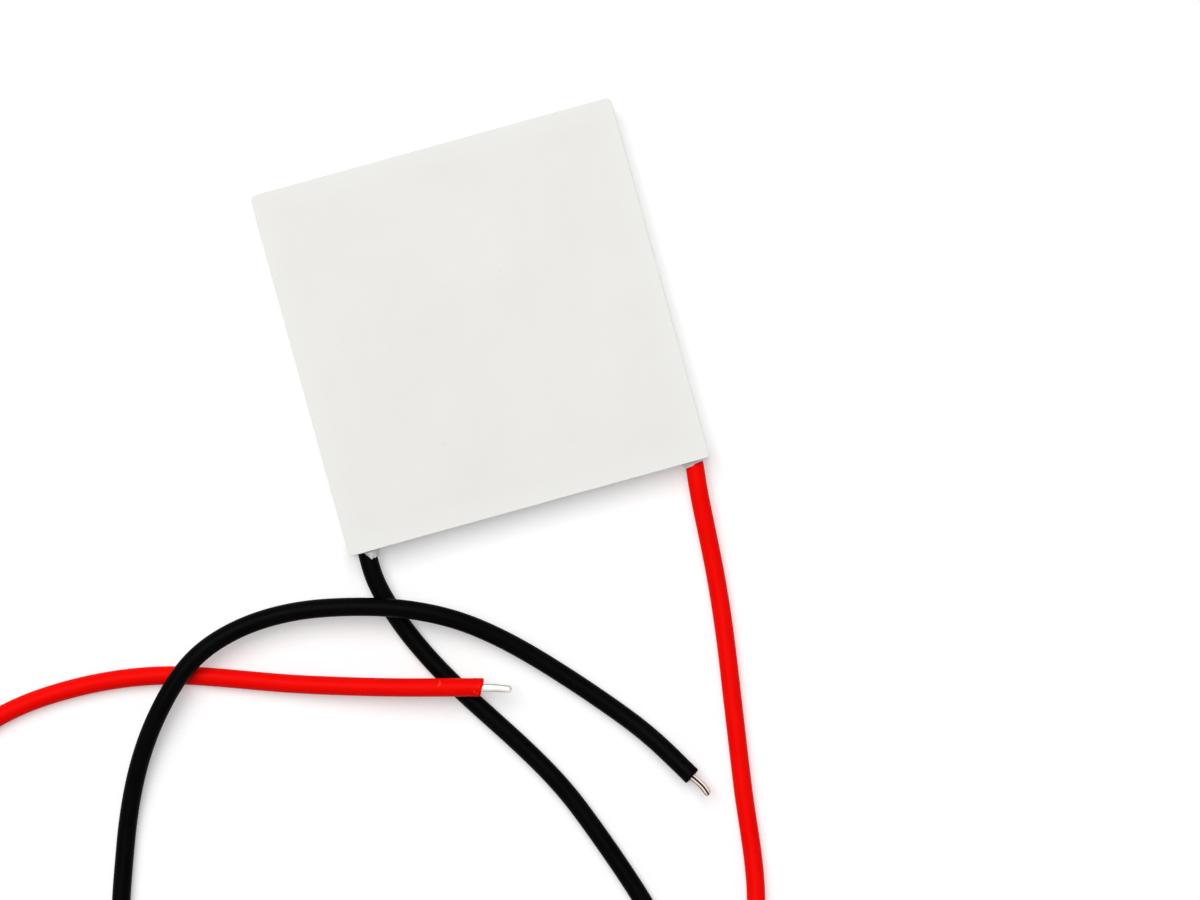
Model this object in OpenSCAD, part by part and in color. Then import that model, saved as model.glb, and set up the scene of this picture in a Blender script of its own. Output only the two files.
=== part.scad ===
// Thermoelectric cooling module: two ceramic plates with a snake of N and P legs
// between them, joined by copper tabs, sealed round the edge, with two leads.
// Millimetres. Origin: middle of the hot (lower) face. +Z runs up to the cold face,
// -Y is the edge that the leads leave by, +X is the side of the red lead.

/* [Ceramic plates] */
// Width of both plates along X
plate_w = 40; // [36:0.5:60]
// Length of both plates along Y
plate_l = 40; // [36:0.5:60]
// Thickness of each plate
plate_t = 0.8; // [0.5:0.05:1.2]
// Radius of the plates' corners
plate_corner_r = 0.4; // [0.1:0.05:1]

/* [Thermoelectric legs] */
// Columns of legs along X, an even number
columns = 16; // [8:2:16]
// Rows of legs along Y
rows = 16; // [8:1:16]
// Width of the square legs
leg_w = 1.4; // [0.8:0.05:1.5]
// Height of the legs
leg_h = 1.6; // [1.4:0.05:3]
// Distance from a plate's edge to the middle of the outer legs
leg_inset = 1.8; // [1.8:0.05:3]

/* [Copper tabs] */
// Thickness of the tabs
tab_t = 0.3; // [0.25:0.05:0.6]
// Width that a tab shows round its legs
tab_rim = 0.15; // [0.05:0.01:0.18]

/* [Edge seal] */
// Width of the silicone run between the plates
seal_w = 0.65; // [0.4:0.05:0.7]
// Distance from the plates' edge back to the seal's lips
seal_setback = 0.1; // [0:0.05:0.15]
// Depth of the hollow that runs along the seal's outer face
seal_dip = 0.2; // [0.05:0.05:0.25]
// How far the seal's collar runs out along each lead
collar_l = 0.7; // [0.3:0.1:1.5]
// How far the collar spreads round the lead at the plates' edge
collar_w = 0.55; // [0.2:0.05:0.7]
// Thickness of the collar's thin outer end round the lead
collar_lip = 0.05; // [0.02:0.01:0.2]
// Clearance round a lead in the seal
lead_fit = 0.02; // [0.01:0.01:0.1]

/* [Leads] */
// Diameter of the insulation
lead_d = 2; // [1.2:0.05:2]
// Diameter of the tinned core
core_d = 0.9; // [0.5:0.05:1]
// How far the insulation reaches in from the plates' edge
lead_reach = 0.8; // [0.7:0.05:0.9]
// Length of the stripped core on its pad
core_l = 2.2; // [1.2:0.1:2.3]
// Length of the bare tip at the red lead's free end
red_tip_l = 3; // [2:0.1:8]
// Length of the bare tip at the black lead's free end
black_tip_l = 2.6; // [2:0.1:8]
// Thickness of the solder over the core
solder_cover = 0.3; // [0.1:0.05:0.35]
// Gap between the insulation's end and the solder
solder_gap = 0.2; // [0.05:0.05:0.5]

/* [Hidden] */
round_sides = 48;
lead_sides = 8;
arc_steps = 6;
through = 1;

// Heights of the stack, from the hot face up
tab_z = plate_t;
leg_z = tab_z + tab_t;
cold_tab_z = leg_z + leg_h;
cold_plate_z = cold_tab_z + tab_t;
module_h = cold_plate_z + plate_t;
plate_gap = cold_plate_z - plate_t;

// Grid of the legs
pitch_x = (plate_w - 2 * leg_inset) / (columns - 1);
pitch_y = (plate_l - 2 * leg_inset) / (rows - 1);
function cell(column, row) = [
    (column - (columns - 1) / 2) * pitch_x,
    (row - (rows - 1) / 2) * pitch_y
];

// The circuit as a snake of cells: up the last column, down the next, and so on.
// The two cells at the corners of the lead edge hold the lead pads, and no leg.
function climbs(column) = (columns - 1 - column) % 2 == 0;
function row_in(column, step) = climbs(column) ? step : rows - 1 - step;
function is_corner(column, row) = row == 0 && (column == 0 || column == columns - 1);
circuit = [
    for (column = [columns - 1:-1:0]) for (step = [0:rows - 1])
        let (row = row_in(column, step))
        if (!is_corner(column, row)) [column, row]
];
legs = len(circuit);

// Leads: the exits' places, and the height of the core between the plates
lead_r = lead_d / 2;
lead_x = plate_w / 2 - leg_inset;
lead_z = (plate_t + cold_plate_z) / 2;
exit_rise = lead_z - lead_r;
red_exit = [lead_x, -plate_l / 2];
black_exit = [-lead_x, -plate_l / 2];
solder_r = core_d / 2 + solder_cover;

// The leads' routes. Each point is [x, y] from the lead's exit, and how far the
// lead is lifted there above lying on the surface below the module.
red_route = [
    [0, lead_reach, exit_rise], [0, -0.9, exit_rise], [-0.3, -2.9, exit_rise], [-0.6, -7.9, 0.3],
    [-1, -13.3, 0], [-1.7, -19.1, 0], [-2.6, -24.9, 0], [-3.5, -30.7, 0],
    [-4.4, -36.6, 0], [-5.1, -42.5, 0], [-6.3, -48.3, 0.3], [-8.9, -53.4, 1.2],
    [-13.8, -56.2, 2], [-19.8, -55.6, 2.05], [-25.6, -54, 1.3], [-31.4, -52.4, 0.4],
    [-37.3, -50.9, 0], [-48.9, -47.9, 0], [-54.8, -46.4, 0], [-60.6, -44.9, 0.4],
    [-66.6, -43.3, 1.3], [-72.8, -41.4, 2.15], [-78.7, -39.3, 1.4], [-84.3, -36.6, 0.5],
    [-88.9, -32.7, 0], [-91.9, -27.4, 0], [-92.7, -21.5, 0], [-91.2, -15.8, 0],
    [-87.7, -11, 0], [-83, -7.7, 0], [-77.5, -6.1, 0], [-71.6, -5.7, 0],
    [-65.6, -6.1, 0], [-59.8, -7.3, 0], [-54.1, -9.3, 0], [-48.4, -11.4, 0.4],
    [-42.4, -13.3, 1.1], [-36.6, -15, 1.8], [-31, -16.5, 2.1], [-28.1, -17.3, 2.1]
];
black_route = [
    [0, lead_reach, exit_rise], [0, -0.9, exit_rise], [-0.1, -2.9, exit_rise], [1.5, -8.7, 0.1],
    [4.2, -14.5, 0], [7.5, -19.9, 0], [10.8, -25.1, 0], [13.7, -30.4, 0],
    [15.8, -35.8, 0], [17.7, -41.3, 0], [19.3, -47, 0], [19.7, -52.7, 0],
    [17.7, -58.1, 0], [13.5, -62.1, 0], [8, -64.2, 0], [2.2, -64, 0],
    [-3.6, -62.6, 0], [-14.9, -59.3, 0], [-20.4, -57.4, 0], [-25.7, -55.2, 0],
    [-30.7, -52, 0], [-34.5, -47.6, 0], [-36.8, -42.2, 0], [-37.2, -36.6, 0],
    [-36.2, -31.1, 0], [-34.3, -25.6, 0], [-32.1, -20, 0.2], [-29.2, -14.7, 1.1],
    [-25.5, -10, 2], [-20.9, -6, 2.2], [-15.4, -4.2, 2], [-9.5, -4, 2],
    [-3.8, -5, 2.3], [2.1, -6.8, 2.5], [7.5, -9.6, 1.8], [12.1, -13.4, 0.8],
    [16.2, -17.7, 0.2], [20.1, -22.2, 0], [23.9, -27, 0.2], [27.3, -32.6, 1.15]
];
function lead_path(exit, route) = [
    for (p = route) [exit.x + p.x, exit.y + p.y, lead_r + p.z]
];
red_path = lead_path(red_exit, red_route);
black_path = lead_path(black_exit, black_route);

function unit(v) = v / norm(v);
function tangent(path, i) = unit(path[min(i + 1, len(path) - 1)] - path[max(i - 1, 0)]);

// One ring of a swept tube, level across, with a flat underneath
function tube_ring(path, i, r) =
    let (along = tangent(path, i), side = unit(cross(along, [0, 0, 1])), up = cross(side, along))
    [for (k = [0:lead_sides - 1])
        let (turn = 360 * (k + 0.5) / lead_sides)
        path[i] + r * (cos(turn) * side + sin(turn) * up)];

function two_digits(n) = n < 10 ? str("0", n) : str(n);
function n_node(column) = str("n_legs_column_", two_digits(column + 1));
function p_node(column) = str("p_legs_column_", two_digits(column + 1));

// Flat slab with rounded corners, centred in X and Y
module slab(w, l, h, r) {
    linear_extrude(h) {
        square([w - 2 * r, l], center = true);
        square([w, l - 2 * r], center = true);
        for (x = [-1, 1], y = [-1, 1])
            translate([x * (w / 2 - r), y * (l / 2 - r)]) circle(r, $fn = round_sides);
    }
}

module plate() {
    color("white") slab(plate_w, plate_l, plate_t, plate_corner_r);
}

module hot_plate() {
    plate();
}

module cold_plate() {
    translate([0, 0, cold_plate_z]) plate();
}

// Copper tab under two neighbouring cells, from the first to the second
module tab(first, second) {
    middle = (first + second) / 2;
    span = [abs(first.x - second.x), abs(first.y - second.y)];
    side = leg_w + 2 * tab_rim;
    color("peru")
        translate([middle.x - (span.x + side) / 2, middle.y - (span.y + side) / 2, 0])
            cube([span.x + side, span.y + side, tab_t]);
}

// Tabs that join leg i to leg i + 1, for every second i from the given one on
module tabs_from(start) {
    for (i = [start:2:legs - 2])
        tab(cell(circuit[i][0], circuit[i][1]), cell(circuit[i + 1][0], circuit[i + 1][1]));
}

module cold_tabs() {
    translate([0, 0, cold_tab_z]) tabs_from(0);
}

module hot_tabs() {
    translate([0, 0, tab_z]) tabs_from(1);
}

// Long tab from a corner cell, under the lead, to the leg next to it
module lead_pad(column) {
    translate([0, 0, tab_z]) tab(cell(column, 0), cell(column, 1));
}

module red_lead_pad() {
    lead_pad(columns - 1);
}

module black_lead_pad() {
    lead_pad(0);
}

// The legs of one type in one column: even places of the circuit are N, odd are P
module legs_of(column, type, tint) {
    for (i = [0:legs - 1])
        if (circuit[i][0] == column && i % 2 == type) {
            place = cell(column, circuit[i][1]);
            color(tint)
                translate([place.x - leg_w / 2, place.y - leg_w / 2, leg_z])
                    cube([leg_w, leg_w, leg_h]);
        }
}

module n_legs(column) {
    legs_of(column, 0, "dimgray");
}

module p_legs(column) {
    legs_of(column, 1, "slategray");
}

// Silicone between the plates, hollow along its outer face
module seal_run() {
    out_w = plate_w - 2 * seal_setback;
    out_l = plate_l - 2 * seal_setback;
    dip_r = (plate_gap * plate_gap / 4 + seal_dip * seal_dip) / (2 * seal_dip);
    difference() {
        slab(out_w, out_l, plate_gap, plate_corner_r);
        translate([0, 0, -through])
            slab(out_w - 2 * seal_w, out_l - 2 * seal_w, plate_gap + 2 * through, plate_corner_r);
        for (side = [-1, 1]) {
            translate([side * (out_w / 2 + dip_r - seal_dip), 0, plate_gap / 2])
                rotate([90, 0, 0])
                    cylinder(h = out_l + 2 * through, r = dip_r, center = true, $fn = round_sides);
            translate([0, side * (out_l / 2 + dip_r - seal_dip), plate_gap / 2])
                rotate([0, 90, 0])
                    cylinder(h = out_w + 2 * through, r = dip_r, center = true, $fn = round_sides);
        }
    }
}

// Silicone round a lead: a block that fills the gap out to the plates' edge, and a
// fillet that runs out along the insulation
module seal_collar() {
    spread_r = lead_r + collar_lip + collar_w;
    block_l = seal_setback + seal_w / 2;
    fillet = [
        for (step = [0:arc_steps])
            let (a = 90 * step / arc_steps)
            [lead_r + collar_lip + collar_w * (1 - sin(a)), collar_l * (1 - cos(a))]
    ];
    translate([-spread_r, 0, -plate_gap / 2]) cube([2 * spread_r, block_l, plate_gap]);
    rotate([90, 0, 0])
        rotate_extrude($fn = round_sides)
            polygon(concat([[0, 0]], fillet, [[0, collar_l]]));
}

module edge_seal() {
    color("ghostwhite")
        difference() {
            union() {
                translate([0, 0, plate_t]) seal_run();
                for (exit = [red_exit, black_exit])
                    translate([exit.x, exit.y, lead_z]) seal_collar();
            }
            for (exit = [red_exit, black_exit])
                translate([exit.x, exit.y, lead_z])
                    rotate([90, 0, 0])
                        cylinder(
                            h = 2 * (collar_l + seal_w + through),
                            r = lead_r + lead_fit,
                            center = true,
                            $fn = round_sides
                        );
        }
}

// Stripped core from the insulation's inner end, over the pad
module core_end(exit) {
    color("silver")
        translate([exit.x, exit.y + lead_reach, lead_z])
            rotate([-90, 0, 0])
                cylinder(h = core_l, d = core_d, $fn = round_sides);
}

module red_core_end() {
    core_end(red_exit);
}

module black_core_end() {
    core_end(black_exit);
}

// Solder that carries the core on its pad and covers it
module solder_mound(exit) {
    pad_top = tab_z + tab_t;
    mound_l = core_l - solder_gap;
    color("lightgray")
        difference() {
            translate([exit.x, exit.y + lead_reach + solder_gap, 0])
                intersection() {
                    translate([-solder_r, 0, pad_top])
                        cube([2 * solder_r, mound_l, module_h]);
                    union() {
                        translate([0, 0, lead_z])
                            rotate([-90, 0, 0])
                                cylinder(h = mound_l, r = solder_r, $fn = round_sides);
                        translate([-solder_r, 0, pad_top])
                            cube([2 * solder_r, mound_l, lead_z - pad_top]);
                    }
                }
            core_end(exit);
        }
}

module red_solder_mound() {
    solder_mound(red_exit);
}

module black_solder_mound() {
    solder_mound(black_exit);
}

// Tube swept along a path, one ring at each of its points
module swept_tube(path, r) {
    rings = len(path);
    last = (rings - 1) * lead_sides;
    polyhedron(
        points = [for (i = [0:rings - 1]) each tube_ring(path, i, r)],
        faces = concat(
            [[for (k = [lead_sides - 1:-1:0]) k]],
            [for (i = [0:rings - 2]) for (k = [0:lead_sides - 1])
                let (next = (k + 1) % lead_sides, here = i * lead_sides, ahead = here + lead_sides)
                [here + k, here + next, ahead + next, ahead + k]],
            [[for (k = [0:lead_sides - 1]) last + k]]
        )
    );
}

module red_lead() {
    color("red") swept_tube(red_path, lead_r);
}

module black_lead() {
    color("black") swept_tube(black_path, lead_r);
}

// Bare tinned end of a lead, straight on from the path's last stretch
module lead_tip(path, tip_l) {
    end = path[len(path) - 1];
    along = end - path[len(path) - 2];
    color("silver")
        translate(end)
            rotate([0, acos(along.z / norm(along)), atan2(along.y, along.x)])
                cylinder(h = tip_l, d = core_d, $fn = round_sides);
}

module red_lead_tip() {
    lead_tip(red_path, red_tip_l);
}

module black_lead_tip() {
    lead_tip(black_path, black_tip_l);
}

hot_plate();
cold_plate();
hot_tabs();
cold_tabs();
for (column = [0:columns - 1]) {
    n_legs(column);
    p_legs(column);
}
red_lead_pad();
black_lead_pad();
red_core_end();
black_core_end();
red_solder_mound();
black_solder_mound();
edge_seal();
red_lead();
black_lead();
red_lead_tip();
black_lead_tip();
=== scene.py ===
"""Thermoelectric cooling module: finishes, leads, seal, light and camera."""

import math

import bmesh
import bpy
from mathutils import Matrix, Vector, noise


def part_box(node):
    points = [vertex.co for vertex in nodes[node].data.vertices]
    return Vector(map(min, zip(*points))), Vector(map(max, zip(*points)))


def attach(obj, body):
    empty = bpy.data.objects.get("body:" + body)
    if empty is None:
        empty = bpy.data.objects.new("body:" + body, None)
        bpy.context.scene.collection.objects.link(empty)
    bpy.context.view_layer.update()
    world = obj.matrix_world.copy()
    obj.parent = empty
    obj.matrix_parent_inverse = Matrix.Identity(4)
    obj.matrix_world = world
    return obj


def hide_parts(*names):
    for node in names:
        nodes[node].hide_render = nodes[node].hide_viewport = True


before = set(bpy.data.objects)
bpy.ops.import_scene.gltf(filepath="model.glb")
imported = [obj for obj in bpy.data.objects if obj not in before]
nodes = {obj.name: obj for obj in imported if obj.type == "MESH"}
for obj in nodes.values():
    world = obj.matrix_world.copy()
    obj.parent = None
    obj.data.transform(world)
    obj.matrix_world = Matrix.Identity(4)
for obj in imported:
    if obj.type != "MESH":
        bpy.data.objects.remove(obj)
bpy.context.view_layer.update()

MM = 0.001
BODY = "root"

# Sizes read from the frame
hot_low, hot_high = (Vector(p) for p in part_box("hot_plate"))
cold_low, cold_high = (Vector(p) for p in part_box("cold_plate"))
half_w = cold_high.x
half_l = cold_high.y
gap_low, gap_high = hot_high.z, cold_low.z
gap_middle = (gap_low + gap_high) / 2
plate_t = hot_high.z - hot_low.z

# Leads
LEAD_R = 1.0 * MM
CORE_R = 0.45 * MM
LEAD_X = 18.2 * MM
LEAD_STEP = 0.4 * MM
LEAD_SIDES = 32
# Passes that smooth a lead's path, and the length at each end that they leave alone
SMOOTH_PASSES = 40
HELD = 1.2 * MM
# The last stretches of a path, and the parts that each is split in for the cut end
FINE_STRETCHES = 8
FINE_PARTS = 4

# Routes from each lead's exit, in mm: (x, y, lift above lying on the floor)
EXIT_RISE = 0.9
RED_ROUTE = [
    (0, 0.8, EXIT_RISE), (0, -0.9, EXIT_RISE), (-0.3, -2.9, EXIT_RISE), (-0.6, -7.9, 0.3),
    (-1, -13.3, 0), (-1.7, -19.1, 0), (-2.6, -24.9, 0), (-3.5, -30.7, 0),
    (-4.4, -36.6, 0), (-5.1, -42.5, 0), (-6.3, -48.3, 0.3), (-8.9, -53.4, 1.2),
    (-13.8, -56.2, 2), (-19.8, -55.6, 2.05), (-25.6, -54, 1.3), (-31.4, -52.4, 0.4),
    (-37.3, -50.9, 0), (-48.9, -47.9, 0), (-54.8, -46.4, 0), (-60.6, -44.9, 0.4),
    (-66.6, -43.3, 1.3), (-72.8, -41.4, 2.15), (-78.7, -39.3, 1.4), (-84.3, -36.6, 0.5),
    (-88.9, -32.7, 0), (-91.9, -27.4, 0), (-92.7, -21.5, 0), (-91.2, -15.8, 0),
    (-87.7, -11, 0), (-83, -7.7, 0), (-77.5, -6.1, 0), (-71.6, -5.7, 0),
    (-65.6, -6.1, 0), (-59.8, -7.3, 0), (-54.1, -9.3, 0), (-48.4, -11.4, 0.4),
    (-42.4, -13.3, 1.1), (-36.6, -15, 1.8), (-31, -16.5, 2.1), (-28.1, -17.3, 2.1),
]
BLACK_ROUTE = [
    (0, 0.8, EXIT_RISE), (0, -0.9, EXIT_RISE), (-0.1, -2.9, EXIT_RISE), (1.5, -8.7, 0.1),
    (4.2, -14.5, 0), (7.5, -19.9, 0), (10.8, -25.1, 0), (13.7, -30.4, 0),
    (15.8, -35.8, 0), (17.7, -41.3, 0), (19.3, -47, 0), (19.7, -52.7, 0),
    (17.7, -58.1, 0), (13.5, -62.1, 0), (8, -64.2, 0), (2.2, -64, 0),
    (-3.6, -62.6, 0), (-14.9, -59.3, 0), (-20.4, -57.4, 0), (-25.7, -55.2, 0),
    (-30.7, -52, 0), (-34.5, -47.6, 0), (-36.8, -42.2, 0), (-37.2, -36.6, 0),
    (-36.2, -31.1, 0), (-34.3, -25.6, 0), (-32.1, -20, 0.2), (-29.2, -14.7, 1.1),
    (-25.5, -10, 2), (-20.9, -6, 2.2), (-15.4, -4.2, 2), (-9.5, -4, 2),
    (-3.8, -5, 2.3), (2.1, -6.8, 2.5), (7.5, -9.6, 1.8), (12.1, -13.4, 0.8),
    (16.2, -17.7, 0.2), (20.1, -22.2, 0), (23.9, -27, 0.2), (27.3, -32.6, 1.15),
]

# How each tinned end looks: length, offset, bend and bow in mm, taper and depth of grooves
# as shares of its radius, and how dark its nose turns. A groove between strands is
# (angle from the lead's right-hand side, half-width, both in degrees, strength of the
# painted dark reflection and shade along it).
RED_TIP = dict(
    length=3.0, offset=0.02, bend=0.20, bow=0.0, taper=0.06, depth=0.04, nose_darkening=0.3,
    grooves=[(6, 13, 0.85), (72, 9, 0.12), (120, 10, 0.10), (178, 8, 0.5), (270, 12, 0.6)],
)
BLACK_TIP = dict(
    length=2.6, offset=0.0, bend=0.16, bow=0.12, taper=0.02, depth=0.05, nose_darkening=1.1,
    grooves=[(19, 20, 1.6), (91, 14, 2.2), (140, 9, 0.2), (182, 9, 0.9), (270, 12, 1.2)],
)

# Nicks that the stripping left: (angle in degrees, mm back from the end, reach in mm)
RED_NICKS = [
    (121, 4.65, 0.40), (110, 4.75, 0.25), (67, 1.0, 0.26), (52, 0.64, 0.32), (100, 0.5, 0.2),
]
BLACK_NICKS = [(70, 3.2, 0.35), (110, 1.2, 0.25)]
# How many times further a nick reaches round the lead than along it
NICK_THIN = 3.2

# ---------------------------------------------------------------- camera

PHOTO_TURN = math.radians(-15.47)
LENS = 100.0
SENSOR = 36.0
VIEW_W = 128.23 * MM
VIEW_CENTRE = Vector((8.87 * MM, -16.13 * MM))


def make_camera():
    """Looks straight down, turned as the photograph is."""
    data = bpy.data.cameras.new("camera")
    data.lens = LENS
    data.sensor_width = SENSOR
    data.clip_start = 0.01
    camera = bpy.data.objects.new("camera", data)
    bpy.context.collection.objects.link(camera)
    height = cold_high.z + VIEW_W * LENS / SENSOR
    camera.location = (VIEW_CENTRE.x, VIEW_CENTRE.y, height)
    camera.rotation_euler = (0, 0, PHOTO_TURN)
    bpy.context.scene.camera = camera


# ---------------------------------------------------------------- node helpers


class Finish:
    """A material and short calls that add nodes to it."""

    def __init__(self, name):
        self.material = bpy.data.materials.new(name)
        self.material.use_nodes = True
        self.tree = self.material.node_tree
        self.tree.nodes.clear()
        self.shader = self.add("ShaderNodeBsdfPrincipled")
        self.out = self.add("ShaderNodeOutputMaterial")
        self.link(self.shader.outputs["BSDF"], self.out.inputs["Surface"])

    def add(self, kind, **settings):
        node = self.tree.nodes.new(kind)
        for key, value in settings.items():
            setattr(node, key, value)
        return node

    def link(self, source, target):
        self.tree.links.new(source, target)

    def set(self, **values):
        """Sets sockets of the shader, with _ for a space in the socket's name."""
        for key, value in values.items():
            self.shader.inputs[key.replace("_", " ")].default_value = value

    def coordinates(self, scale=(1, 1, 1), attribute=None):
        """Object coordinates in mm, or a mesh attribute, times scale."""
        mapping = self.add("ShaderNodeMapping")
        if attribute:
            source = self.add("ShaderNodeAttribute", attribute_name=attribute)
            self.link(source.outputs["Vector"], mapping.inputs["Vector"])
            mapping.inputs["Scale"].default_value = scale
        else:
            source = self.add("ShaderNodeTexCoord")
            self.link(source.outputs["Object"], mapping.inputs["Vector"])
            mapping.inputs["Scale"].default_value = [s / MM for s in scale]
        return mapping.outputs["Vector"]

    def noise(self, vector, scale, detail=4.0, roughness=0.5):
        texture = self.add("ShaderNodeTexNoise")
        self.link(vector, texture.inputs["Vector"])
        texture.inputs["Scale"].default_value = scale
        texture.inputs["Detail"].default_value = detail
        texture.inputs["Roughness"].default_value = roughness
        return texture.outputs["Fac"]

    def edge_distance(self):
        """Distance in mm from the plates' nearest side, seen from above."""
        split = self.add("ShaderNodeSeparateXYZ")
        self.link(self.coordinates(), split.inputs["Vector"])
        sides = []
        for axis in ("X", "Y"):
            size = self.add("ShaderNodeMath", operation="ABSOLUTE")
            self.link(split.outputs[axis], size.inputs[0])
            sides.append(size.outputs[0])
        return self.combine("SUBTRACT", half_w / MM, self.combine("MAXIMUM", *sides))

    def spread(self, value, low, high, from_low=0.3, from_high=0.7):
        """Maps a texture's value to the range from low to high."""
        node = self.add("ShaderNodeMapRange")
        node.inputs["From Min"].default_value = from_low
        node.inputs["From Max"].default_value = from_high
        node.inputs["To Min"].default_value = low
        node.inputs["To Max"].default_value = high
        self.link(value, node.inputs["Value"])
        return node.outputs["Result"]

    def combine(self, operation, first, second):
        """A Math node on two values, each a number or what another node gives."""
        node = self.add("ShaderNodeMath", operation=operation)
        for socket, value in zip(node.inputs, (first, second)):
            if isinstance(value, float):
                socket.default_value = value
            else:
                self.link(value, socket)
        return node.outputs[0]

    def nicks(self, places):
        """Short marks across a lead, at places listed as in RED_NICKS."""
        wrap = self.coordinates((1, 1, NICK_THIN), "wrap")
        marks = None
        for angle, back, reach in places:
            a = math.radians(angle)
            along = -NICK_THIN * back * MM / LEAD_R
            away = self.add("ShaderNodeVectorMath", operation="DISTANCE")
            self.link(wrap, away.inputs[0])
            away.inputs[1].default_value = (math.cos(a), math.sin(a), along)
            mark = self.spread(away.outputs["Value"], 1, 0, 0.2 * reach, reach)
            marks = self.combine("MAXIMUM", marks, mark) if marks else mark
        ragged = self.noise(self.coordinates(attribute="wrap"), 9.0, 3)
        return self.combine("MULTIPLY", marks, self.spread(ragged, 0.1, 1, 0.38, 0.55))

    def mix(self, factor, first, second):
        node = self.add("ShaderNodeMix", data_type="RGBA")
        self.link(factor, node.inputs["Factor"])
        for socket, colour in ((node.inputs[6], first), (node.inputs[7], second)):
            if isinstance(colour, tuple):
                socket.default_value = (*colour, 1)
            else:
                self.link(colour, socket)
        return node.outputs[2]

    def bumps(self, *layers):
        """Stacks bump nodes, each layer (height, strength, distance in mm)."""
        normal = None
        for height, strength, distance in layers:
            bump = self.add("ShaderNodeBump")
            bump.inputs["Strength"].default_value = strength
            bump.inputs["Distance"].default_value = distance * MM
            self.link(height, bump.inputs["Height"])
            if normal:
                self.link(normal, bump.inputs["Normal"])
            normal = bump.outputs["Normal"]
        self.link(normal, self.shader.inputs["Normal"])

    def colour(self, source):
        self.link(source, self.shader.inputs["Base Color"])

    def rough(self, source):
        self.link(source, self.shader.inputs["Roughness"])


# ---------------------------------------------------------------- materials


def alumina():
    """Sintered alumina: fine matt grain, faint clouds, a few darker specks, and a painted lighter
    rim near the sides.
    """
    f = Finish("alumina")
    place = f.coordinates()
    clouds = f.noise(place, 0.12, 3)
    grain = f.noise(place, 9.0, 6, 0.6)
    specks = f.noise(place, 2.6, 2, 0.4)
    base = f.mix(f.spread(clouds, 0, 1), (0.822, 0.814, 0.780), (0.852, 0.846, 0.814))
    base = f.mix(f.spread(grain, 0, 0.35), base, (0.875, 0.868, 0.845))
    base = f.mix(f.spread(specks, 0, 0.25, 0.70, 0.80), base, (0.62, 0.61, 0.57))
    # Painted light: the colour lightens within 2.6 mm of the plates' sides, a painted bright rim.
    base = f.mix(f.spread(f.edge_distance(), 0.7, 0, 0.0, 2.6), base, (0.872, 0.868, 0.838))
    f.colour(base)
    f.rough(f.spread(grain, 0.48, 0.66))
    f.bumps((grain, 0.35, 0.010), (clouds, 0.3, 0.02))
    f.set(Specular_IOR_Level=0.42)
    return f.material


def silicone():
    """White sealant, slightly translucent and wet-looking."""
    f = Finish("silicone")
    place = f.coordinates()
    lumps = f.noise(place, 1.3, 4)
    f.colour(f.mix(f.spread(lumps, 0, 1), (0.80, 0.80, 0.785), (0.88, 0.88, 0.865)))
    f.rough(f.spread(lumps, 0.28, 0.5))
    f.bumps((lumps, 0.4, 0.05))
    f.set(Subsurface_Weight=0.15, Subsurface_Scale=0.4 * MM, Specular_IOR_Level=0.45)
    return f.material


def insulation(name, dark, light, gloss, places, mark):
    """Extruded wire insulation: drawn streaks, fine dimples, rubbed patches and nicks."""
    f = Finish(name)
    shiny, dull, specular = gloss
    wrap = f.coordinates(attribute="wrap")
    streaks = f.noise(f.coordinates((3.0, 3.0, 0.10), "wrap"), 2.0, 4)
    dimples = f.noise(wrap, 3.5, 5, 0.6)
    rubs = f.noise(f.coordinates((1.0, 1.0, 0.35), "wrap"), 0.9, 3)
    base = f.mix(f.spread(rubs, 0, 1), dark, light)
    f.colour(f.mix(f.nicks(places), base, mark))
    f.rough(f.spread(rubs, shiny, dull))
    f.bumps((streaks, 0.5, 0.012), (dimples, 0.35, 0.010))
    f.set(Specular_IOR_Level=specular)
    return f.material


def tinned_copper():
    """Strands under solder: bright, with pink fringes and near-black lines along the grooves,
    painted reflection and shade, and a darker nose.
    """
    f = Finish("tinned_copper")
    groove = f.add("ShaderNodeAttribute", attribute_name="groove").outputs["Fac"]
    wrap = f.coordinates((1.6, 1.6, 0.5), "wrap")
    blotch = f.noise(wrap, 1.8, 4)
    bright = f.mix(f.spread(blotch, 0, 1), (0.92, 0.90, 0.86), (0.72, 0.68, 0.63))
    # Painted reflection and shade: pink fringes, then near-black, where the stored groove values
    # rise.
    painted_pink_fringe = f.mix(f.spread(groove, 0, 1, 0.05, 0.4), bright, (0.70, 0.52, 0.45))
    f.colour(f.mix(f.spread(groove, 0, 1, 0.35, 0.7), painted_pink_fringe, (0.055, 0.016, 0.009)))
    f.rough(f.mix(f.spread(groove, 0, 1, 0.2, 0.6), f.spread(blotch, 0.22, 0.42), (0.6, 0.6, 0.6)))
    f.bumps((blotch, 0.5, 0.02))
    f.link(f.spread(groove, 1, 0, 0.3, 0.6), f.shader.inputs["Metallic"])
    f.set(Specular_IOR_Level=0.15)
    return f.material


def solder():
    """Solder that has run and set: smooth grey metal with soft ripples."""
    f = Finish("solder")
    ripples = f.noise(f.coordinates(), 2.2, 4)
    f.colour(f.mix(f.spread(ripples, 0, 1), (0.60, 0.60, 0.60), (0.74, 0.74, 0.74)))
    f.rough(f.spread(ripples, 0.22, 0.42))
    f.bumps((ripples, 0.5, 0.03))
    f.set(Metallic=1.0)
    return f.material


def copper():
    """Etched copper strip, a little dull and browned in patches."""
    f = Finish("copper")
    patches = f.noise(f.coordinates(), 0.8, 5)
    scratches = f.noise(f.coordinates((6, 0.5, 1)), 2.5, 3)
    f.colour(f.mix(f.spread(patches, 0, 1), (0.83, 0.42, 0.27), (0.62, 0.29, 0.18)))
    f.rough(f.spread(scratches, 0.28, 0.48))
    f.bumps((scratches, 0.3, 0.01))
    f.set(Metallic=1.0)
    return f.material


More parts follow.
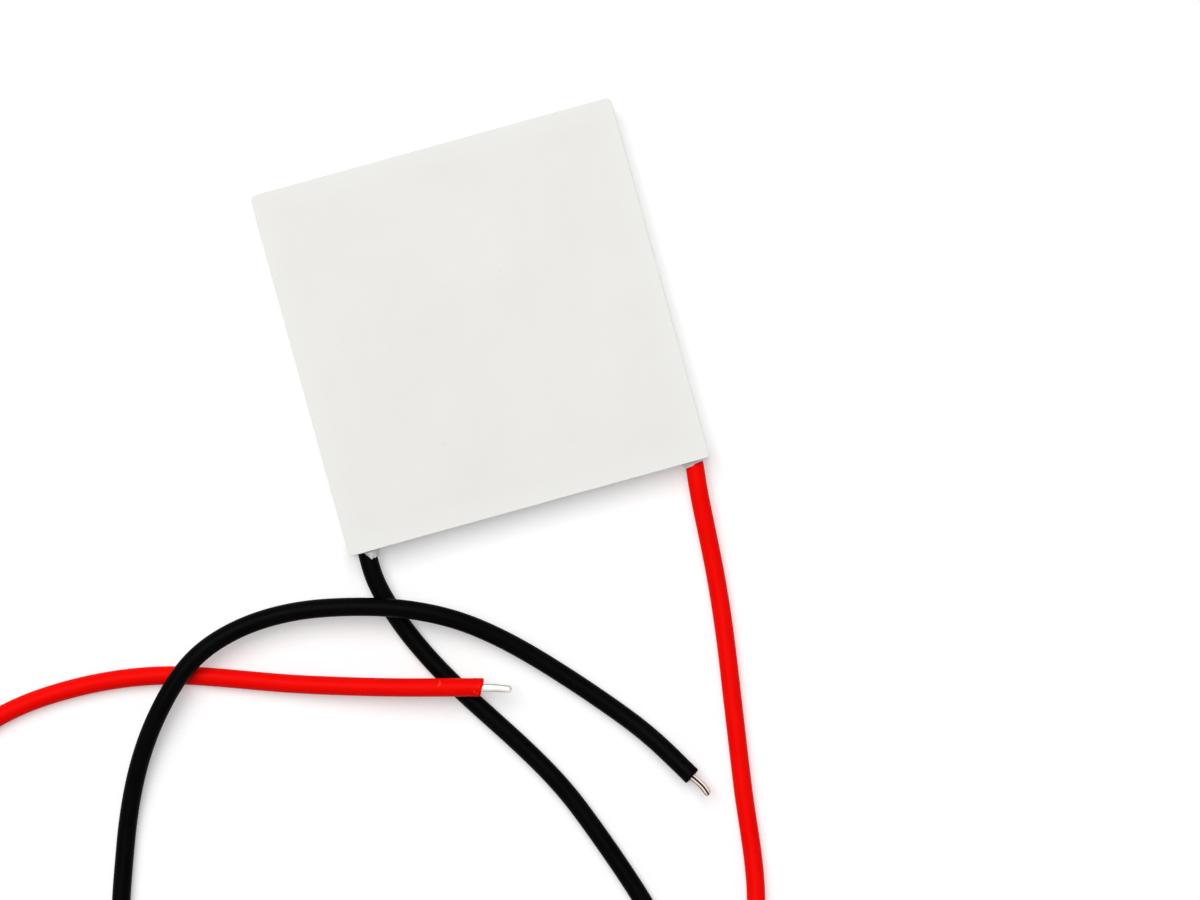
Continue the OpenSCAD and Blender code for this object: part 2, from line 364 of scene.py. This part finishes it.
def telluride(name, dark, light):
    """Sawn bismuth telluride: grey metal with flaky crystal grain."""
    f = Finish(name)
    cells = f.add("ShaderNodeTexVoronoi")
    f.link(f.coordinates((1, 1, 2.5)), cells.inputs["Vector"])
    cells.inputs["Scale"].default_value = 3.0
    flakes = cells.outputs["Color"]
    split = f.add("ShaderNodeSeparateColor")
    f.link(flakes, split.inputs["Color"])
    tone = split.outputs["Red"]
    f.colour(f.mix(f.spread(tone, 0, 1, 0, 1), dark, light))
    f.rough(f.spread(tone, 0.32, 0.6, 0, 1))
    f.bumps((tone, 0.4, 0.02))
    f.set(Metallic=1.0)
    return f.material


# ---------------------------------------------------------------- mesh helpers


def new_piece(name, mesh, material, slot, *replaced):
    """Links a piece, dresses it, sets what it rides on, and hides the parts it replaces."""
    piece = bpy.data.objects.new(name, mesh)
    bpy.context.collection.objects.link(piece)
    mesh.materials.append(material)
    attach(piece, BODY)
    if replaced:
        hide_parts(*replaced)
    return piece


def grid_faces(rings, sides, closed=False):
    """Quads between successive rings of a lofted surface."""
    faces = []
    for i in range(rings if closed else rings - 1):
        here = i * sides
        ahead = ((i + 1) % rings) * sides
        for k in range(sides):
            after = (k + 1) % sides
            faces.append((here + k, here + after, ahead + after, ahead + k))
    return faces


def capped_faces(rings, sides):
    """Quads between successive rings, and a face over each end."""
    first = tuple(range(sides))
    last = tuple((rings - 1) * sides + k for k in first)
    return [*grid_faces(rings, sides), first, last]


def build_mesh(name, points, faces, smooth=True):
    """A new mesh, shaded smooth or flat."""
    mesh = bpy.data.meshes.new(name)
    mesh.from_pydata([tuple(p) for p in points], [], faces)
    mesh.polygons.foreach_set("use_smooth", [smooth] * len(mesh.polygons))
    mesh.update()
    return mesh


def face_outwards(mesh):
    """Turns every face's front to the outside."""
    work = bmesh.new()
    work.from_mesh(mesh)
    bmesh.ops.recalc_face_normals(work, faces=work.faces)
    work.to_mesh(mesh)
    work.free()


def store(mesh, name, kind, values):
    """Keeps one value per vertex for the material."""
    layer = mesh.attributes.new(name, kind, "POINT")
    key = "vector" if kind == "FLOAT_VECTOR" else "value"
    flat = [c for v in values for c in v] if kind == "FLOAT_VECTOR" else values
    layer.data.foreach_set(key, flat)


def noise_round(angle, scale, along):
    """Noise that runs round a lead without a seam."""
    return noise.noise(Vector((scale * math.cos(angle), scale * math.sin(angle), along)))


def hump(offset, width):
    """A soft hump, 1 high in its middle, at an offset from there."""
    return math.exp(-((offset / width) ** 2))


# ---------------------------------------------------------------- plates

EDGE_ROUND = 0.06 * MM
EDGE_STEP = 0.25 * MM
# How deep the snapped edge waves and chips, and how fast that changes up its side
EDGE_WAVE = 0.035 * MM
EDGE_CHIP = 0.10 * MM
LEVEL_SHIFT = 0.15
# Each corner's signs of x and y, first direction in degrees, and radius
CORNERS = [
    (1, -1, -90, 0.15 * MM), (1, 1, 0, 0.65 * MM),
    (-1, 1, 90, 0.7 * MM), (-1, -1, 180, 0.45 * MM),
]
CORNER_STEPS = 6


def slab_outline(half_x, half_y, step, corners):
    """Points round a slab with round corners, each with its outward direction."""
    outline = []
    for i, (sx, sy, angle, corner) in enumerate(corners):
        centre = Vector((sx * (half_x - corner), sy * (half_y - corner)))
        for k in range(CORNER_STEPS + 1):
            a = math.radians(angle + 90 * k / CORNER_STEPS)
            out = Vector((math.cos(a), math.sin(a)))
            outline.append((centre + corner * out, out))
        nx, ny, _, ahead = corners[(i + 1) % len(corners)]
        target = Vector((nx * (half_x - ahead), ny * (half_y - ahead))) + ahead * out
        start = outline[-1][0].copy()
        count = int((target - start).length / step)
        for k in range(1, count):
            outline.append((start.lerp(target, k / count), out))
    return outline


def snapped_edge(point, seed):
    """How far a snapped ceramic edge falls back from its ideal line."""
    at = Vector((point.x / MM, point.y / MM, seed))
    wave = 0.5 + 0.5 * noise.noise(at * 0.45)
    chip = max(0.0, noise.noise(at * 1.9) - 0.25)
    return EDGE_WAVE * wave + EDGE_CHIP * chip


def make_plate(name, node, low, high, material, seed):
    """One ceramic plate with a snapped outline and slightly broken edges."""
    outline = slab_outline(high.x, high.y, EDGE_STEP, CORNERS)
    partway = 0.3 * EDGE_ROUND
    levels = [
        (low.z, EDGE_ROUND), (low.z + partway, partway), (low.z + EDGE_ROUND, 0),
        (low.z + plate_t / 2, 0),
        (high.z - EDGE_ROUND, 0), (high.z - partway, partway), (high.z, EDGE_ROUND),
    ]
    points = []
    for level, (z, inset) in enumerate(levels):
        for spot, out in outline:
            back = snapped_edge(spot, seed + LEVEL_SHIFT * level) + inset
            edge = spot - out * back
            points.append((edge.x, edge.y, z))
    faces = capped_faces(len(levels), len(outline))
    mesh = build_mesh(name, points, faces)
    mesh.polygons[len(faces) - 2].use_smooth = False
    mesh.polygons[len(faces) - 1].use_smooth = False
    face_outwards(mesh)
    return new_piece(name, mesh, material, "alumina", node)


# ---------------------------------------------------------------- edge seal

SEAL_BACK = 0.1 * MM
SEAL_W = 0.65 * MM
SEAL_DIP = 0.2 * MM
SEAL_RIPPLE = 0.05 * MM
SEAL_CORNER = 0.9 * MM
# Points up the seal's outer face
SEAL_LEVELS = 10

# Dab of silicone round each lead: how far it reaches out, in mm, at angles from +X, its
# width beside the lead in mm, the curve of its slope, and how ragged its rim is
RED_DAB = dict(
    reach=[(0, 0.16), (26, 0.18), (71, 0.22), (117, 0.46), (180, 0.54), (270, 0.35)],
    wide=0.40, shape=1.5, rag=0.08,
)
BLACK_DAB = dict(
    reach=[
        (5, 0.85), (45, 0.80), (68, 0.92), (88, 0.40),
        (104, 0.03), (150, 0.02), (180, 0.05), (270, 0.35),
    ],
    wide=0.50, shape=0.85, rag=0.16,
)
DAB_SIDES = 144
DAB_RINGS = 15
# In mm: its inner radius, and how far inside the plates' edge its first two rings lie
DAB_INNER = 1.012
DAB_ROOT = 0.5
DAB_LAP = 0.03


def seal_face(spot, height):
    """How far the seal's outer face lies behind the plates' edge at a height 0 to 1."""
    at = Vector((spot.x / MM, spot.y / MM, 3.0 * height))
    hollow = 4 * height * (1 - height)
    dip = SEAL_DIP * hollow * (0.75 + 0.6 * noise.noise(at * 0.35))
    ripple = SEAL_RIPPLE * noise.noise(at * 1.4) * hollow
    return SEAL_BACK * (1 - 0.8 * abs(2 * height - 1) ** 3) + dip + ripple


def seal_run_points(outline):
    """A ring for each point of the outline: up the outer face, then down the inner one."""
    points = []
    for spot, out in outline:
        for k in range(SEAL_LEVELS):
            height = k / (SEAL_LEVELS - 1)
            edge = spot - out * seal_face(spot, height)
            points.append((edge.x, edge.y, gap_low + height * (gap_high - gap_low)))
        inner = spot - out * (SEAL_BACK + SEAL_W)
        points.append((inner.x, inner.y, gap_high))
        points.append((inner.x, inner.y, gap_low))
    return points


def eased(profile, angle):
    """Value of a smooth profile, given as (degrees, value), at an angle round a lead."""
    knots = [(profile[-1][0] - 360, profile[-1][1]), *profile, (profile[0][0] + 360, profile[0][1])]
    for (a, low), (b, high) in zip(knots, knots[1:]):
        if a <= angle <= b:
            t = (angle - a) / (b - a)
            return low + (high - low) * t * t * (3 - 2 * t)
    return profile[0][1]


def dab_points(exit_x, look, seed):
    """Silicone dabbed round a lead, out to the reach its profile gives, in mm."""
    half_gap = (gap_high - gap_low) / 2 / MM
    points = []
    for i in range(DAB_RINGS):
        t = max(0, i - 1) / (DAB_RINGS - 2)
        for k in range(DAB_SIDES):
            degrees = 360 * k / DAB_SIDES
            a = math.radians(degrees)
            reach = eased(look["reach"], degrees)
            wide = look["wide"] * min(1.0, 0.25 + reach / 0.8)
            rag = noise_round(a, 4, seed) + 0.5 * noise_round(a, 11, seed)
            out = reach * (1 + look["rag"] * rag)
            lump = 0.04 * noise_round(a, 2, 2 * t + seed)
            r = DAB_INNER + (wide * (1 - t) ** look["shape"] + lump * math.sin(math.pi * t))
            x, z = r * math.cos(a), r * math.sin(a)
            room = half_gap - 0.01 + 0.35 * min(1.0, 3 * t * out)
            z = max(-room, min(room, z))
            y = DAB_LAP - (out + DAB_LAP) * t if i else DAB_ROOT
            points.append((exit_x + x * MM, -half_l + y * MM, gap_middle + z * MM))
    return points


def make_seal(material):
    """The silicone run in the gap, and a dab round each lead."""
    corners = [(sx, sy, angle, SEAL_CORNER) for sx, sy, angle, _ in CORNERS]
    outline = slab_outline(half_w, half_l, 2 * EDGE_STEP, corners)
    points = seal_run_points(outline)
    faces = grid_faces(len(outline), SEAL_LEVELS + 2, closed=True)
    for exit_x, look, seed in ((LEAD_X, RED_DAB, 1.0), (-LEAD_X, BLACK_DAB, 7.0)):
        start = len(points)
        points += dab_points(exit_x, look, seed)
        faces += [tuple(start + i for i in face) for face in grid_faces(DAB_RINGS, DAB_SIDES)]
    mesh = build_mesh("edge_seal_bead", points, faces)
    face_outwards(mesh)
    return new_piece("edge_seal_bead", mesh, material, "silicone", "edge_seal")


# ---------------------------------------------------------------- leads

# How far back from a sleeve's cut end the slant reaches
SLANT_FADE = 1.2 * MM
# Rings over the cut end and into its hole: (radius in lead radii, mm back from the end)
CUT_RINGS = [
    (0.992, 0.20), (0.98, 0.12), (0.955, 0.055), (0.915, 0.015), (0.86, 0.0),
    (0.60, 0.0), (0.52, 0.03), (0.50, 0.5),
]
TIP_RINGS = 60
TIP_SIDES = 64
# How far a tinned end reaches into its sleeve, and the length of its round nose
TIP_INSIDE = 0.45 * MM
TIP_NOSE = 0.42 * MM


def smooth_path(points):
    """Even samples of a smooth curve along the points, with its ends held."""
    line = [2 * points[0] - points[1], *points, 2 * points[-1] - points[-2]]
    samples = []
    for i in range(1, len(line) - 2):
        a, b, c, d = line[i - 1: i + 3]
        count = max(2, round((c - b).length / LEAD_STEP))
        for k in range(count):
            t = k / count
            samples.append(0.5 * (
                2 * b + (c - a) * t
                + (2 * a - 5 * b + 4 * c - d) * t * t
                + (3 * b - a - 3 * c + d) * t * t * t
            ))
    samples.append(points[-1])
    held = round(HELD / LEAD_STEP)
    for _ in range(SMOOTH_PASSES):
        middle = [(samples[i - 1] + samples[i + 1]) / 2 for i in range(1, len(samples) - 1)]
        for i in range(held, len(middle) - held):
            samples[i + 1] = samples[i + 1].lerp(middle[i], 0.5)
    for point in samples:
        point.z = max(point.z, LEAD_R)
    return samples


def finer_end(path):
    """Splits the last few stretches of a path into shorter ones."""
    fine = path[:-FINE_STRETCHES]
    for a, b in zip(path[-FINE_STRETCHES - 1:], path[-FINE_STRETCHES:]):
        fine += [a.lerp(b, (k + 1) / FINE_PARTS) for k in range(FINE_PARTS)]
    return fine


def path_frames(path):
    """Direction, side and up at each point of a path."""
    frames = []
    for i in range(len(path)):
        along = (path[min(i + 1, len(path) - 1)] - path[max(i - 1, 0)]).normalized()
        side = along.cross(Vector((0, 0, 1))).normalized()
        frames.append((along, side, side.cross(along)))
    return frames


def route_points(exit_x, route):
    """A route's points in metres, in the frame's place."""
    return [
        Vector((exit_x + x * MM, -half_l + y * MM, LEAD_R + lift * MM))
        for x, y, lift in route
    ]


def sleeve_radius(place, to_end, seed):
    """The insulation's radius: slight unevenness, and a nip near the stripped end."""
    uneven = 0.006 * noise.noise(Vector((place / MM * 0.25, seed, 0)))
    nip = 0.015 * hump(to_end / MM - 1.6, 0.6)
    return LEAD_R * (0.994 + uneven - nip)


def make_sleeve(name, node, route, exit_x, material, slot, slant, slant_side, seed):
    """One lead's insulation: a tube whose far end is cut at a slant, in mm, and hollow."""
    path = finer_end(smooth_path(route_points(exit_x, route)))
    frames = path_frames(path)
    lengths = [0.0]
    for a, b in zip(path, path[1:]):
        lengths.append(lengths[-1] + (b - a).length)
    total = lengths[-1]
    points, wraps = [], []

    def ring(i, radius, pull=0.0):
        along, side, up = frames[i]
        to_end = total - lengths[i]
        fade = max(0.0, 1 - to_end / SLANT_FADE) ** 2
        depth = 0.035 * hump(to_end / MM - 0.9, 0.7)
        for k in range(LEAD_SIDES):
            a = 2 * math.pi * k / LEAD_SIDES
            out = math.cos(a) * side + math.sin(a) * up
            cut = slant * MM * (0.5 - 0.5 * math.cos(a - math.radians(slant_side)))
            dented = radius * (1 + depth * noise_round(a, 2, lengths[i] / MM * 1.6 + seed))
            points.append(path[i] + dented * out - along * (cut * fade + pull))
            wraps.append((math.cos(a), math.sin(a), (lengths[i] - pull - total) / LEAD_R))

    last = len(path) - 1
    for i in range(last - FINE_PARTS):
        ring(i, sleeve_radius(lengths[i], total - lengths[i], seed))
    for radius, pull in CUT_RINGS:
        ring(last, LEAD_R * radius, pull * MM)
    mesh = build_mesh(name, points, capped_faces(len(points) // LEAD_SIDES, LEAD_SIDES))
    face_outwards(mesh)
    store(mesh, "wrap", "FLOAT_VECTOR", wraps)
    piece = new_piece(name, mesh, material, slot, node)
    return piece, path, total


def groove_at(grooves, degrees):
    """Depth, 0 to 1, and painted dark reflection of the nearest groove at an angle."""
    depth = painted_reflection = 0.0
    for angle, width, dark in grooves:
        off = (degrees - angle + 180) % 360 - 180
        here = hump(off, width)
        depth = max(depth, here)
        painted_reflection = max(painted_reflection, dark * here)
    return depth, painted_reflection


def make_tip(name, node, path, material, look, seed):
    """Bare end of a lead: strands run together with solder, round-ended."""
    along, side, up = path_frames(path)[-1]
    start = path[-1]
    length = look["length"] * MM
    points, wraps, grooves = [], [], []
    for i in range(TIP_RINGS):
        # The power crowds the rings towards the nose
        t = 1 - (1 - i / (TIP_RINGS - 1)) ** 1.35
        s = -TIP_INSIDE + t * (length + TIP_INSIDE)
        out_part = max(0.0, s / length)
        bow = look["bow"] * 4 * out_part * (1 - out_part)
        drift = (look["offset"] + look["bend"] * out_part ** 1.5 - bow) * MM
        centre = start + along * s + side * drift
        to_end = (length - s) / TIP_NOSE
        cap = math.sqrt(max(0.0, 1 - (1 - min(1.0, to_end)) ** 2))
        slim = 1 - look["taper"] * out_part
        wander = 5 * noise.noise(Vector((s / MM * 0.9, seed, 5)))
        for k in range(TIP_SIDES):
            a = 2 * math.pi * k / TIP_SIDES
            groove, painted_reflection = groove_at(look["grooves"], math.degrees(a) + wander)
            blob = noise_round(a, 1, s / MM * 1.1 + seed)
            r = CORE_R * slim * (0.94 - look["depth"] * groove + 0.05 * blob) * max(cap, 0.02)
            points.append(centre + r * (math.cos(a) * side + math.sin(a) * up))
            wraps.append((math.cos(a), math.sin(a), s / CORE_R))
            # Painted reflection and shade along the grooves: patchy, and weaker on the nose.
            patchy = 0.5 + 0.5 * noise.noise(Vector((a, s / MM * 0.8, seed + 3)))
            painted_reflection *= (0.5 + 0.8 * patchy) * min(1.0, 0.3 + cap)
            # The colour darkens over the round nose, most on one side.
            nose = look["nose_darkening"] * (1 - cap) * (0.5 + 0.5 * math.cos(a - 0.3))
            grooves.append(min(1.0, painted_reflection + nose))
    mesh = build_mesh(name, points, capped_faces(TIP_RINGS, TIP_SIDES))
    face_outwards(mesh)
    store(mesh, "wrap", "FLOAT_VECTOR", wraps)
    store(mesh, "groove", "FLOAT", grooves)
    return new_piece(name, mesh, material, "tinned_copper", node)


# ---------------------------------------------------------------- stage

LAMP_SIZE = 1.4
LAMP_PLACE = Vector((-0.10, 0.60, 1.60))
LAMP_POWER = 27.8
SKY = 0.20
FLOOR_LIFT = 0.28
FLOOR_HALF = 3.0


def floor_white():
    """White floor: takes shadows, and shows white to the camera."""
    f = Finish("floor_white")
    f.tree.nodes.remove(f.shader)
    diffuse = f.add("ShaderNodeBsdfDiffuse")
    diffuse.inputs["Color"].default_value = (0.82, 0.82, 0.82, 1)
    path = f.add("ShaderNodeLightPath")
    seen = f.combine("MAXIMUM", path.outputs["Is Camera Ray"], path.outputs["Is Glossy Ray"])
    glow = f.add("ShaderNodeEmission")
    f.link(f.combine("MULTIPLY", seen, FLOOR_LIFT), glow.inputs["Strength"])
    total = f.add("ShaderNodeAddShader")
    f.link(diffuse.outputs[0], total.inputs[0])
    f.link(glow.outputs[0], total.inputs[1])
    f.link(total.outputs[0], f.out.inputs["Surface"])
    return f.material


def make_stage():
    """A white floor, one wide lamp overhead and a plain white surround."""
    signs = ((-1, -1), (1, -1), (1, 1), (-1, 1))
    corners = [(x * FLOOR_HALF, y * FLOOR_HALF, 0) for x, y in signs]
    mesh = build_mesh("floor", corners, [(0, 1, 2, 3)], False)
    mesh.materials.append(floor_white())
    floor = bpy.data.objects.new("floor", mesh)
    bpy.context.collection.objects.link(floor)

    data = bpy.data.lights.new("overhead", "AREA")
    data.shape = "SQUARE"
    data.size = LAMP_SIZE
    data.energy = LAMP_POWER
    lamp = bpy.data.objects.new("overhead", data)
    bpy.context.collection.objects.link(lamp)
    lamp.location = LAMP_PLACE
    lamp.rotation_euler = (-LAMP_PLACE).to_track_quat("-Z", "Y").to_euler()

    world = bpy.data.worlds.new("surround")
    bpy.context.scene.world = world
    world.use_nodes = True
    tree = world.node_tree
    ground = tree.nodes["Background"]
    ground.inputs["Color"].default_value = (1, 1, 1, 1)
    path = tree.nodes.new("ShaderNodeLightPath")
    seen = tree.nodes.new("ShaderNodeMath")
    seen.operation = "MAXIMUM"
    tree.links.new(path.outputs["Is Camera Ray"], seen.inputs[0])
    tree.links.new(path.outputs["Is Glossy Ray"], seen.inputs[1])
    level = tree.nodes.new("ShaderNodeMapRange")
    tree.links.new(seen.outputs[0], level.inputs["Value"])
    level.inputs["To Min"].default_value = SKY
    level.inputs["To Max"].default_value = 1.0
    tree.links.new(level.outputs["Result"], ground.inputs["Strength"])


def dress(names, material):
    """Gives CAD nodes that stay as they are their material."""
    for name in names:
        slots = nodes[name].data.materials
        slots.clear()
        slots.append(material)


# ---------------------------------------------------------------- assembly

bpy.context.scene.view_settings.view_transform = "Standard"
make_camera()

bright_tin = tinned_copper()
red_skin = insulation(
    "red_insulation", dark=(0.95, 0.002, 0.001), light=(1.0, 0.0035, 0.0015),
    gloss=(0.34, 0.48, 0.025), places=RED_NICKS, mark=(1.0, 0.09, 0.06),
)
black_skin = insulation(
    "black_insulation", dark=(0.0008, 0.0008, 0.0008), light=(0.0018, 0.0018, 0.0018),
    gloss=(0.30, 0.46, 0.018), places=BLACK_NICKS, mark=(0.006, 0.006, 0.006),
)
red_sleeve, red_path, red_length = make_sleeve(
    "red_lead_insulation", "red_lead", RED_ROUTE, LEAD_X, red_skin, "red_insulation",
    slant=0.34, slant_side=180, seed=2.0,
)
black_sleeve, black_path, black_length = make_sleeve(
    "black_lead_insulation", "black_lead", BLACK_ROUTE, -LEAD_X, black_skin, "black_insulation",
    slant=0.06, slant_side=0, seed=9.0,
)
red_tip = make_tip(
    "red_lead_tinned_end", "red_lead_tip", red_path, bright_tin, RED_TIP, seed=4.0
)
black_tip = make_tip(
    "black_lead_tinned_end", "black_lead_tip", black_path, bright_tin, BLACK_TIP, seed=6.0
)

ceramic = alumina()
make_plate("hot_plate_ceramic", "hot_plate", hot_low, hot_high, ceramic, seed=11.0)
make_plate("cold_plate_ceramic", "cold_plate", cold_low, cold_high, ceramic, seed=23.0)
make_seal(silicone())

dress(["hot_tabs", "cold_tabs", "red_lead_pad", "black_lead_pad"], copper())
dress(["red_core_end", "black_core_end"], bright_tin)
dress(["red_solder_mound", "black_solder_mound"], solder())
for kind, dark, light in (
    ("n", (0.24, 0.24, 0.26), (0.42, 0.42, 0.44)),
    ("p", (0.30, 0.31, 0.34), (0.48, 0.49, 0.52)),
):
    legs = [name for name in nodes if name.startswith(f"{kind}_legs_")]
    dress(legs, telluride(f"{kind}_leg_alloy", dark, light))
make_stage()
